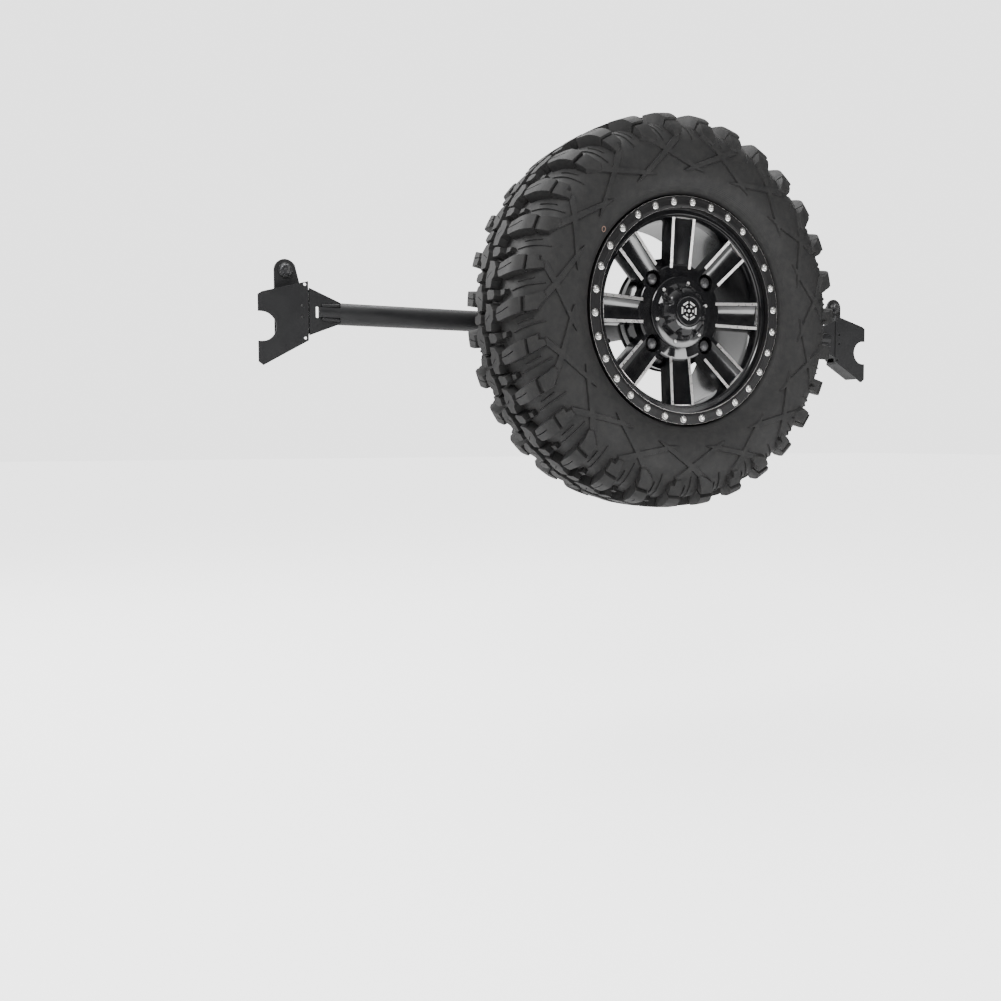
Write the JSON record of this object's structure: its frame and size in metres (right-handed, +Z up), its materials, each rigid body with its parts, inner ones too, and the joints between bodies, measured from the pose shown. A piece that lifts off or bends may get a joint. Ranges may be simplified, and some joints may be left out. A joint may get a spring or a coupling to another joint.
{
  "type": "spare tire carrier",
  "caption": "Crossbar that spans a vehicle's rear roll cage between two folded brackets, with a standoff hub plate holding a lug-bolted off-road spare wheel.",
  "frame": {"origin": "where the crossbar's axis crosses the wheel's axis, midway between the two cage pads", "axes": "+X to the right along the crossbar as seen from behind the vehicle, +Y forward to the cab, +Z up; the wheel hangs behind the crossbar and faces -Y"},
  "size_m": [1.358, 0.3493, 0.686],
  "materials": {
    "powder_coat": "satin black powder coat with a fine texture",
    "gloss_black": "gloss black lacquer on a cast wheel",
    "satin_black": "satin black coating on machined aluminium",
    "machined_aluminium": "bright machined lines along the spokes",
    "tyre_rubber": "matte, moulded",
    "zinc_bolt": "bright zinc plated steel",
    "black_bolt": "black oxide steel",
    "cap_plastic": "gloss black",
    "valve_rubber": "matte"
  },
  "bodies": {
    "carrier": {"crossbar": "powder_coat", "left_gusset": "powder_coat", "left_bracket_plate": "powder_coat", "left_mount_tab": "powder_coat", "left_upper_bolt": "black_bolt", "left_upper_washer": "black_bolt", "left_upper_nut": "black_bolt", "left_lower_bolt": "black_bolt", "left_lower_washer": "black_bolt", "left_lower_nut": "black_bolt", "right_gusset": "powder_coat", "right_bracket_plate": "powder_coat", "right_mount_tab": "powder_coat", "right_upper_bolt": "black_bolt", "right_upper_washer": "black_bolt", "right_upper_nut": "black_bolt", "right_lower_bolt": "black_bolt", "right_lower_washer": "black_bolt", "right_lower_nut": "black_bolt", "standoff_tube": "powder_coat", "left_standoff_rib": "powder_coat", "right_standoff_rib": "powder_coat", "upper_standoff_rib": "powder_coat", "lower_standoff_rib": "powder_coat", "hub_plate": "powder_coat", "wheel_stud_1": "zinc_bolt", "wheel_stud_2": "zinc_bolt", "wheel_stud_3": "zinc_bolt", "wheel_stud_4": "zinc_bolt"},
    "wheel": {"tyre": "tyre_rubber", "rim_barrel": "gloss_black", "rim_front_flange": "gloss_black", "rim_back_flange": "gloss_black", "wheel_disc": "gloss_black", "beadlock_ring": "satin_black", "centre_cap": "cap_plastic", "cap_badge": "satin_black", "cap_screw_1": "zinc_bolt", "cap_screw_2": "zinc_bolt", "cap_screw_3": "zinc_bolt", "cap_screw_4": "zinc_bolt", "cap_screw_5": "zinc_bolt", "cap_screw_6": "zinc_bolt", "valve_stem": "valve_rubber"},
    "valve_cap": {"valve_cap": "cap_plastic"},
    "lug_nut_1": {"lug_nut_1": "black_bolt"},
    "lug_nut_2": {"lug_nut_2": "black_bolt"},
    "lug_nut_3": {"lug_nut_3": "black_bolt"},
    "lug_nut_4": {"lug_nut_4": "black_bolt"}
  },
  "joints": [
    {"name": "wheel_lift_off", "type": "slide", "parent": "carrier", "child": "wheel", "axis": [0, -1, 0], "range_m": [0, 0.12]},
    {"name": "lug_nut_1_turn", "type": "hinge", "parent": "wheel", "child": "lug_nut_1", "pos_m": [0.05515, -0.229, 0.05515], "axis": [0, -1, 0], "continuous": true},
    {"name": "lug_nut_2_turn", "type": "hinge", "parent": "wheel", "child": "lug_nut_2", "pos_m": [0.05515, -0.229, -0.05515], "axis": [0, -1, 0], "continuous": true},
    {"name": "lug_nut_3_turn", "type": "hinge", "parent": "wheel", "child": "lug_nut_3", "pos_m": [-0.05515, -0.229, -0.05515], "axis": [0, -1, 0], "continuous": true},
    {"name": "lug_nut_4_turn", "type": "hinge", "parent": "wheel", "child": "lug_nut_4", "pos_m": [-0.05515, -0.229, 0.05515], "axis": [0, -1, 0], "continuous": true},
    {"name": "valve_cap_turn", "type": "hinge", "parent": "wheel", "child": "valve_cap", "pos_m": [-0.1275, -0.2225, -0.05281], "axis": [0.9239, 0, 0.3827], "continuous": true}
  ]
}
